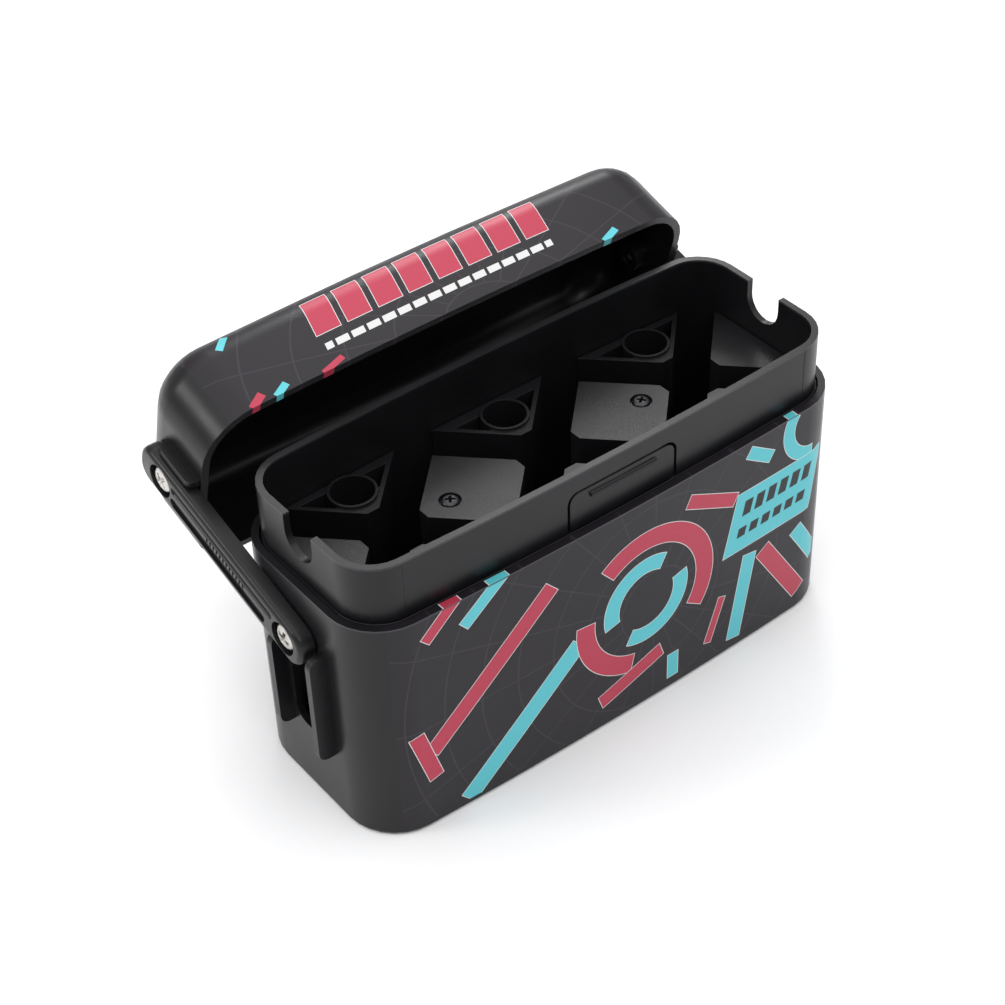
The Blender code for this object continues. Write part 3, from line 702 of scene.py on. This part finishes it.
def screw_metal(name, base, roughness):
    """Plated steel with turning marks and slight tarnish."""
    surface = Surface(name, Metallic=1.0)
    tarnish = surface.noise(TARNISH_SIZE, detail=4.0)
    marks = surface.noise(TURNING_SIZE, detail=2.0)
    spots = surface.ramp(tarnish, *TARNISH_EDGES)
    surface.feed("Base Color", surface.blend(spots, base, shade(base, TARNISH_SHADE)))
    finish = roughness + tarnish * TARNISH_ROUGHNESS + marks * TURNING_ROUGHNESS
    surface.feed("Roughness", finish)
    surface.bump(marks, TURNING_DEPTH)
    return surface.material


def floor_paper(name, colours):
    """Matt white studio paper."""
    surface = Surface(name)
    fibre = surface.noise(FIBRE_SIZE, detail=4.0)
    paper = surface.blend(fibre, colours.floor, shade(colours.floor, FIBRE_SHADE))
    surface.feed("Base Color", paper)
    surface.feed("Roughness", PAPER_ROUGHNESS + fibre * FIBRE_ROUGHNESS)
    surface.bump(fibre, FIBRE_DEPTH)
    return surface.material


# ---------------------------------------------------------------- pieces


def new_piece(name, mesh, material):
    """A mesh as a named object with one material."""
    piece = bpy.data.objects.new(name, mesh)
    mesh.materials.clear()
    mesh.materials.append(material)
    bpy.context.scene.collection.objects.link(piece)
    return piece


def settle(piece):
    """Turns the piece's modifiers into mesh."""
    bpy.context.view_layer.update()
    graph = bpy.context.evaluated_depsgraph_get()
    mesh = bpy.data.meshes.new_from_object(piece.evaluated_get(graph))
    piece.modifiers.clear()
    piece.data = mesh


def clean_copy(node):
    """The CAD node's mesh with its corners joined and its flat faces whole."""
    mesh = bpy.data.meshes.new(node)
    work = bmesh.new()
    work.from_mesh(frame["nodes"][node].data)
    bmesh.ops.remove_doubles(work, verts=work.verts, dist=MERGE_DISTANCE)
    bmesh.ops.dissolve_limit(work, angle_limit=FLAT_ANGLE, verts=work.verts, edges=work.edges)
    work.to_mesh(mesh)
    work.free()
    return mesh


def soften(piece, width, segments=3):
    """Rounds the piece's edges and shades it so that flat faces stay flat."""
    rounding = piece.modifiers.new("rounding", "BEVEL")
    rounding.width = width
    rounding.segments = segments
    rounding.limit_method = "ANGLE"
    rounding.angle_limit = ROUNDED_ANGLE
    rounding.use_clamp_overlap = True
    rounding.miter_outer = "MITER_ARC"
    settle(piece)
    for face in piece.data.polygons:
        face.use_smooth = True
    piece.data.set_sharp_from_angle(angle=SHARP_ANGLE)
    weighting = piece.modifiers.new("weighting", "WEIGHTED_NORMAL")
    weighting.keep_sharp = True


def carve(piece, cutter):
    """Cuts the cutter from the piece and removes the cutter."""
    step = piece.modifiers.new("carving", "BOOLEAN")
    step.operation = "DIFFERENCE"
    step.object = cutter
    step.solver = "EXACT"
    settle(piece)
    bpy.data.objects.remove(cutter)


def body_of(node):
    """The body that a CAD node rides on."""
    for body, nodes in frame["record"]["behaviour"]["bodies"].items():
        if node in nodes:
            return body
    raise ValueError(f"{node} is in no body")


def finish_piece(piece, node, width, segments=3):
    """Softens a piece that stands for a CAD node, and lets it move with that node's body."""
    soften(piece, width, segments)
    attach(piece, body_of(node))
    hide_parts(node)


def hull(points):
    """A closed convex mesh round the points."""
    mesh = bpy.data.meshes.new("hull")
    work = bmesh.new()
    for point in points:
        work.verts.new(point)
    bmesh.ops.convex_hull(work, input=work.verts)
    bmesh.ops.recalc_face_normals(work, faces=work.faces)
    work.to_mesh(mesh)
    work.free()
    return mesh


def capsule(start, end, radius, turns=20, rings=6):
    """A rod with round ends between two points."""
    along = (end - start).normalized()
    aside = along.orthogonal().normalized()
    other = along.cross(aside)
    points = []
    for centre, sign in ((start, -1), (end, 1)):
        for ring in range(rings + 1):
            rise = math.pi / 2 * ring / rings
            reach = radius * math.cos(rise)
            middle = centre + along * (sign * radius * math.sin(rise))
            for turn in range(turns):
                angle = 2 * math.pi * turn / turns
                spoke = aside * math.cos(angle) + other * math.sin(angle)
                points.append(middle + spoke * reach)
    return hull(points)


def turned(profile, turns=48):
    """A closed solid turned about +Z, from (radius, height) points whose ends are on the axis."""
    mesh = bpy.data.meshes.new("turned")
    work = bmesh.new()
    chain = [work.verts.new((radius, 0.0, height)) for radius, height in profile]
    edges = [work.edges.new(pair) for pair in zip(chain, chain[1:])]
    bmesh.ops.spin(
        work, geom=chain + edges, cent=(0, 0, 0), axis=(0, 0, 1), steps=turns, angle=2 * math.pi
    )
    bmesh.ops.remove_doubles(work, verts=work.verts, dist=MERGE_DISTANCE)
    bmesh.ops.recalc_face_normals(work, faces=work.faces)
    work.to_mesh(mesh)
    work.free()
    return mesh


def screw_profile(head_radius, length):
    """Half the outline of a pan-head screw, its head's top at height 0."""
    head_height = head_radius * HEAD_HEIGHT
    shank_radius = head_radius * SHANK_RADIUS
    crown = []
    for step in range(CROWN_STEPS + 1):
        angle = math.pi / 2 * step / CROWN_STEPS
        radius = head_radius * (CROWN_RADIUS + (1 - CROWN_RADIUS) * math.sin(angle))
        drop = CROWN_DIP_OF_HEIGHT + CROWN_DROP_OF_HEIGHT * (1 - math.cos(angle))
        crown.append((radius, -head_height * drop))
    return [
        (0.0, 0.0),
        (head_radius * FACE_RADIUS, -head_height * FACE_DIP_OF_HEIGHT),
        *crown,
        (head_radius, -head_height * SKIRT_DROP_OF_HEIGHT),
        (head_radius * SKIRT_RADIUS, -head_height),
        (shank_radius, -head_height),
        (shank_radius, -length * POINT_START_OF_LENGTH),
        (shank_radius * POINT_RADIUS_OF_SHANK, -length),
        (0.0, -length),
    ]


def cross_cutter(head_radius, depth, turn):
    """One blade of the cross recess, wide at the head's face and narrow at its tip."""
    points = []
    for height, (long_side, short_side) in (
        (head_radius * BLADE_FACE_RISE, BLADE_FACE),
        (-depth * BLADE_WAIST_OF_DEPTH, BLADE_WAIST),
        (-depth, BLADE_TIP),
    ):
        for along in (-1, 1):
            for aside in (-1, 1):
                across = along * long_side * head_radius
                corner = Vector((across, aside * short_side * head_radius, height))
                points.append(Matrix.Rotation(turn, 3, "Z") @ corner)
    return hull(points)


def make_screw(node, axis, turn, material, sizes):
    """A pan-head screw with a cross recess in place of a CAD pin, its head towards the axis."""
    low, high = (Vector(corner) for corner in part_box(node))
    centre = (low + high) / 2
    direction = Vector(axis)
    extent = high - low
    across = extent.y if direction.x else extent.x
    length = abs(extent.dot(direction))
    head_radius = across / 2
    outline = turned(screw_profile(head_radius, length))
    screw = new_piece(f"{node}_cross_head", outline, material)
    for quarter in (0.0, math.pi / 2):
        blade = cross_cutter(head_radius, head_radius * 2 * sizes.recess_depth, turn + quarter)
        carve(screw, new_piece("blade", blade, material))
    top = centre + direction * (length / 2)
    placing = direction.to_track_quat("Z", "Y").to_matrix().to_4x4()
    screw.data.transform(Matrix.Translation(top) @ placing)
    finish_piece(screw, node, head_radius * HEAD_ROUND, 2)


def arm_point(side, along, forward, outward):
    """A point on an arm: up from its lower pivot, towards its front edge, and out from its face."""
    sign = -1 if side == "left" else 1
    y = along * math.sin(ARM_LEAN) - forward * math.cos(ARM_LEAN)
    z = OPEN_PIVOT_HEIGHT + along * math.cos(ARM_LEAN) + forward * math.sin(ARM_LEAN)
    return Vector((sign * (ARM_OUTER_FACE + outward), y, z))


def make_arm(side, material, sizes):
    """An arm with rounded edges, a soft groove beside its front ridge, and grip notches."""
    node = f"arm_{side}"
    arm = new_piece(f"{node}_finished", clean_copy(node), material)
    sunk = GROOVE_RADIUS - sizes.groove_depth
    low, high = (arm_point(side, end, GROOVE_FORWARD, sunk) for end in GROOVE_ENDS)
    carve(arm, new_piece("groove", capsule(low, high, GROOVE_RADIUS), material))
    for notch in range(NOTCH_COUNT):
        along = FIRST_NOTCH + notch * NOTCH_STEP
        front, back = (arm_point(side, along, end, NOTCH_OUTWARD) for end in NOTCH_ENDS)
        cut = capsule(front, back, NOTCH_RADIUS, turns=12, rings=4)
        carve(arm, new_piece("notch", cut, material))
    finish_piece(arm, node, ARM_ROUND, 2)


def surface_point(piece, start, direction):
    """Where a line from the start first meets the piece."""
    hit, point, _, _ = piece.ray_cast(Vector(start), Vector(direction))
    if not hit:
        raise ValueError(f"{piece.name} isn't in line with {tuple(start)}")
    return point


def body_outline(inset, height):
    """Points round the body at this height, set in from its outside; its long sides bow out."""
    half_length = BODY_LENGTH / 2 - inset
    half_depth = BODY_DEPTH / 2 - inset
    corner = BODY_CORNER - inset
    flat = half_length - corner
    plan = []
    for turn, (side_x, side_y) in enumerate(((1, 1), (-1, 1), (-1, -1), (1, -1))):
        for step in range(CORNER_STEPS + 1):
            angle = math.pi / 2 * (turn + step / CORNER_STEPS)
            across = side_x * flat + corner * math.cos(angle)
            plan.append((across, side_y * (half_depth - corner) + corner * math.sin(angle)))
        if turn % 2 == 0:
            for step in range(1, BOW_STEPS):
                plan.append((side_x * flat * (1 - 2 * step / BOW_STEPS), side_y * half_depth))
    outline = []
    for x, y in plan:
        bow = SIDE_BOW * (y / half_depth) * (1 - (x / half_length) ** 2)
        outline.append((x, y + bow, height))
    return outline


def thin_line(name, points, radius, material, body, closed=False):
    """A fine raised moulding line along the points."""
    curve = bpy.data.curves.new(name, "CURVE")
    curve.dimensions = "3D"
    curve.bevel_depth = radius
    curve.bevel_resolution = 2
    curve.use_fill_caps = not closed
    spline = curve.splines.new("POLY")
    spline.points.add(len(points) - 1)
    for place, point in zip(spline.points, points):
        place.co = (*point, 1.0)
    spline.use_cyclic_u = closed
    guide = bpy.data.objects.new(name, curve)
    bpy.context.scene.collection.objects.link(guide)
    bpy.context.view_layer.update()
    graph = bpy.context.evaluated_depsgraph_get()
    mesh = bpy.data.meshes.new_from_object(guide.evaluated_get(graph))
    bpy.data.objects.remove(guide)
    line = new_piece(name, mesh, material)
    for face in line.data.polygons:
        face.use_smooth = True
    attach(line, body)


def settings():
    """The scene's sizes and colours."""
    scene = bpy.context.scene
    return scene.darts_case_sizes, scene.darts_case_colours


# ---------------------------------------------------------------- operators


class DARTSCASE_OT_shell(bpy.types.Operator):
    """Finish the outer shell, with its generic front print"""

    bl_idname = "darts_case.shell"
    bl_label = "Outer Shell"

    def execute(self, context):
        sizes, colours = settings()
        material = printed_shell("Printed shell", colours)
        shell = new_piece("shell_finished", clean_copy("outer_shell"), material)
        finish_piece(shell, "outer_shell", sizes.seam_round)
        return {"FINISHED"}


class DARTSCASE_OT_liner(bpy.types.Operator):
    """Finish the liner with its collar, its catch tongue and its moulding lines"""

    bl_idname = "darts_case.liner"
    bl_label = "Inner Liner"

    def execute(self, context):
        sizes, colours = settings()
        material = liner_plastic("Satin liner", colours)
        liner = new_piece("liner_finished", clean_copy("inner_liner"), material)
        finish_piece(liner, "inner_liner", sizes.rim_round)
        tongue = new_piece("tongue_finished", clean_copy("catch_tongue"), material)
        finish_piece(tongue, "catch_tongue", sizes.rim_round * TONGUE_ROUND_SHARE)
        body = "case"
        for side, x in zip(SIDES, (-MOULDING_LINE_ACROSS, MOULDING_LINE_ACROSS)):
            points = [
                surface_point(liner, (x, -BODY_LENGTH, height), (0, 1, 0))
                for height in (MOULDING_LINE_START, MOULDING_LINE_END)
            ]
            name = f"moulding_line_{side}"
            thin_line(name, points, MOULDING_LINE_RADIUS, material, body)
        ledge = body_outline(LEDGE_BEAD_INSET, SHOULDER_HEIGHT - LEDGE_BEAD_DROP)
        thin_line("ledge_bead", ledge, LEDGE_BEAD_RADIUS, material, body, closed=True)
        return {"FINISHED"}


class DARTSCASE_OT_block(bpy.types.Operator):
    """Finish the flight block with its grained tops"""

    bl_idname = "darts_case.block"
    bl_label = "Flight Block"

    def execute(self, context):
        sizes, colours = settings()
        material = plain_plastic(
            "Grained block", colours, roughness=BLOCK_ROUGHNESS, grain=sizes.grain_size
        )
        block = new_piece("block_finished", clean_copy("flight_block"), material)
        finish_piece(block, "flight_block", sizes.block_round, 2)
        return {"FINISHED"}


class DARTSCASE_OT_lid(bpy.types.Operator):
    """Finish the lid, with its generic print"""

    bl_idname = "darts_case.lid"
    bl_label = "Lid"

    def execute(self, context):
        sizes, colours = settings()
        material = printed_lid("Printed lid", colours)
        lid = new_piece("lid_finished", clean_copy("lid_shell"), material)
        finish_piece(lid, "lid_shell", sizes.rim_round)
        return {"FINISHED"}


class DARTSCASE_OT_arms(bpy.types.Operator):
    """Build the two side arms and the slides behind them"""

    bl_idname = "darts_case.arms"
    bl_label = "Arms and Slides"

    def execute(self, context):
        sizes, colours = settings()
        arm_material = plain_plastic("Arm nylon", colours, roughness=ARM_ROUGHNESS)
        slide_material = plain_plastic("Slide acetal", colours, roughness=SLIDE_ROUGHNESS)
        for side in SIDES:
            make_arm(side, arm_material, sizes)
            node = f"slide_{side}"
            slide = new_piece(f"{node}_finished", clean_copy(node), slide_material)
            finish_piece(slide, node, sizes.block_round)
        return {"FINISHED"}


class DARTSCASE_OT_screws(bpy.types.Operator):
    """Build the six screws with their cross recesses"""

    bl_idname = "darts_case.screws"
    bl_label = "Screws"

    def execute(self, context):
        sizes, colours = settings()
        bright = screw_metal("Nickel-plated steel", colours.steel, BRIGHT_ROUGHNESS)
        dark = screw_metal("Black-plated steel", colours.dark_steel, DARK_ROUGHNESS)
        for sign, side in zip((-1, 1), SIDES):
            outward = (sign, 0, 0)
            make_screw(f"slide_screw_{side}", outward, SLIDE_SCREW_TURN * sign, bright, sizes)
            make_screw(f"lid_screw_{side}", outward, LID_SCREW_TURN * sign, bright, sizes)
            make_screw(f"block_screw_{side}", (0, 0, 1), BLOCK_SCREW_TURN * sign, dark, sizes)
        return {"FINISHED"}


def area_light(name, place, width, height, power):
    """A soft rectangular light aimed at the case."""
    data = bpy.data.lights.new(name, "AREA")
    data.shape = "RECTANGLE"
    data.size = width
    data.size_y = height
    data.energy = power
    lamp = bpy.data.objects.new(name, data)
    lamp.location = place
    aim = Vector(LIGHT_TARGET) - Vector(place)
    lamp.rotation_euler = aim.to_track_quat("-Z", "Y").to_euler()
    bpy.context.scene.collection.objects.link(lamp)


def place_camera():
    """The camera above the case's front left corner, with its slight roll."""
    back = Vector(
        (
            math.sin(CAMERA_AZIMUTH) * math.cos(CAMERA_ELEVATION),
            -math.cos(CAMERA_AZIMUTH) * math.cos(CAMERA_ELEVATION),
            math.sin(CAMERA_ELEVATION),
        )
    )
    right = (-back).cross(Vector((0, 0, 1))).normalized()
    down = (-back).cross(right)
    across = right * math.cos(CAMERA_ROLL) + down * math.sin(CAMERA_ROLL)
    up = right * math.sin(CAMERA_ROLL) - down * math.cos(CAMERA_ROLL)
    data = bpy.data.cameras.new("camera")
    data.sensor_width = CAMERA_SENSOR
    data.lens = CAMERA_LENS
    data.dof.use_dof = False
    camera = bpy.data.objects.new("camera", data)
    placing = Matrix((across, up, back)).transposed().to_4x4()
    placing.translation = CAMERA_TARGET + back * CAMERA_DISTANCE
    camera.matrix_world = placing
    bpy.context.scene.collection.objects.link(camera)
    bpy.context.scene.camera = camera


class DARTSCASE_OT_stage(bpy.types.Operator):
    """Set up the studio floor, the lights and the camera"""

    bl_idname = "darts_case.stage"
    bl_label = "Studio"

    def execute(self, context):
        _, colours = settings()
        corners = [
            (across * FLOOR_REACH, along * FLOOR_REACH, FLOOR_HEIGHT)
            for across, along in ((-1, -1), (1, -1), (1, 1), (-1, 1))
        ]
        mesh = bpy.data.meshes.new("studio_floor")
        mesh.from_pydata(corners, [], [(0, 1, 2, 3)])
        new_piece("studio_floor", mesh, floor_paper("Studio paper", colours))
        world = bpy.data.worlds.new("studio")
        world.use_nodes = True
        background = world.node_tree.nodes["Background"]
        background.inputs["Color"].default_value = (1.0, 1.0, 1.0, 1.0)
        background.inputs["Strength"].default_value = WORLD_STRENGTH
        context.scene.world = world
        context.scene.view_settings.view_transform = "Standard"
        for name, (place, width, height, power) in LIGHTS.items():
            area_light(name, place, width, height, power)
        place_camera()
        return {"FINISHED"}


class DARTSCASE_PT_panel(bpy.types.Panel):
    """Darts case tools"""

    bl_label = "Darts Case"
    bl_idname = "DARTSCASE_PT_panel"
    bl_space_type = "VIEW_3D"
    bl_region_type = "UI"
    bl_category = "Darts Case"

    def draw(self, context):
        layout = self.layout
        for group in (context.scene.darts_case_sizes, context.scene.darts_case_colours):
            box = layout.box()
            for name in group.__annotations__:
                box.prop(group, name)
        for operator in OPERATORS:
            layout.operator(operator.bl_idname)


OPERATORS = (
    DARTSCASE_OT_shell,
    DARTSCASE_OT_liner,
    DARTSCASE_OT_block,
    DARTSCASE_OT_lid,
    DARTSCASE_OT_arms,
    DARTSCASE_OT_screws,
    DARTSCASE_OT_stage,
)
CLASSES = (DartsCaseSizes, DartsCaseColours, *OPERATORS, DARTSCASE_PT_panel)


def register():
    """Adds the classes and the scene's settings."""
    for item in CLASSES:
        bpy.utils.register_class(item)
    bpy.types.Scene.darts_case_sizes = bpy.props.PointerProperty(type=DartsCaseSizes)
    bpy.types.Scene.darts_case_colours = bpy.props.PointerProperty(type=DartsCaseColours)


def unregister():
    """Removes the settings and the classes."""
    del bpy.types.Scene.darts_case_colours
    del bpy.types.Scene.darts_case_sizes
    for item in reversed(CLASSES):
        bpy.utils.unregister_class(item)


def main():
    """Builds everything."""
    register()
    bpy.ops.darts_case.shell()
    bpy.ops.darts_case.liner()
    bpy.ops.darts_case.block()
    bpy.ops.darts_case.lid()
    bpy.ops.darts_case.arms()
    bpy.ops.darts_case.screws()
    bpy.ops.darts_case.stage()


if __name__ == "__main__":
    main()
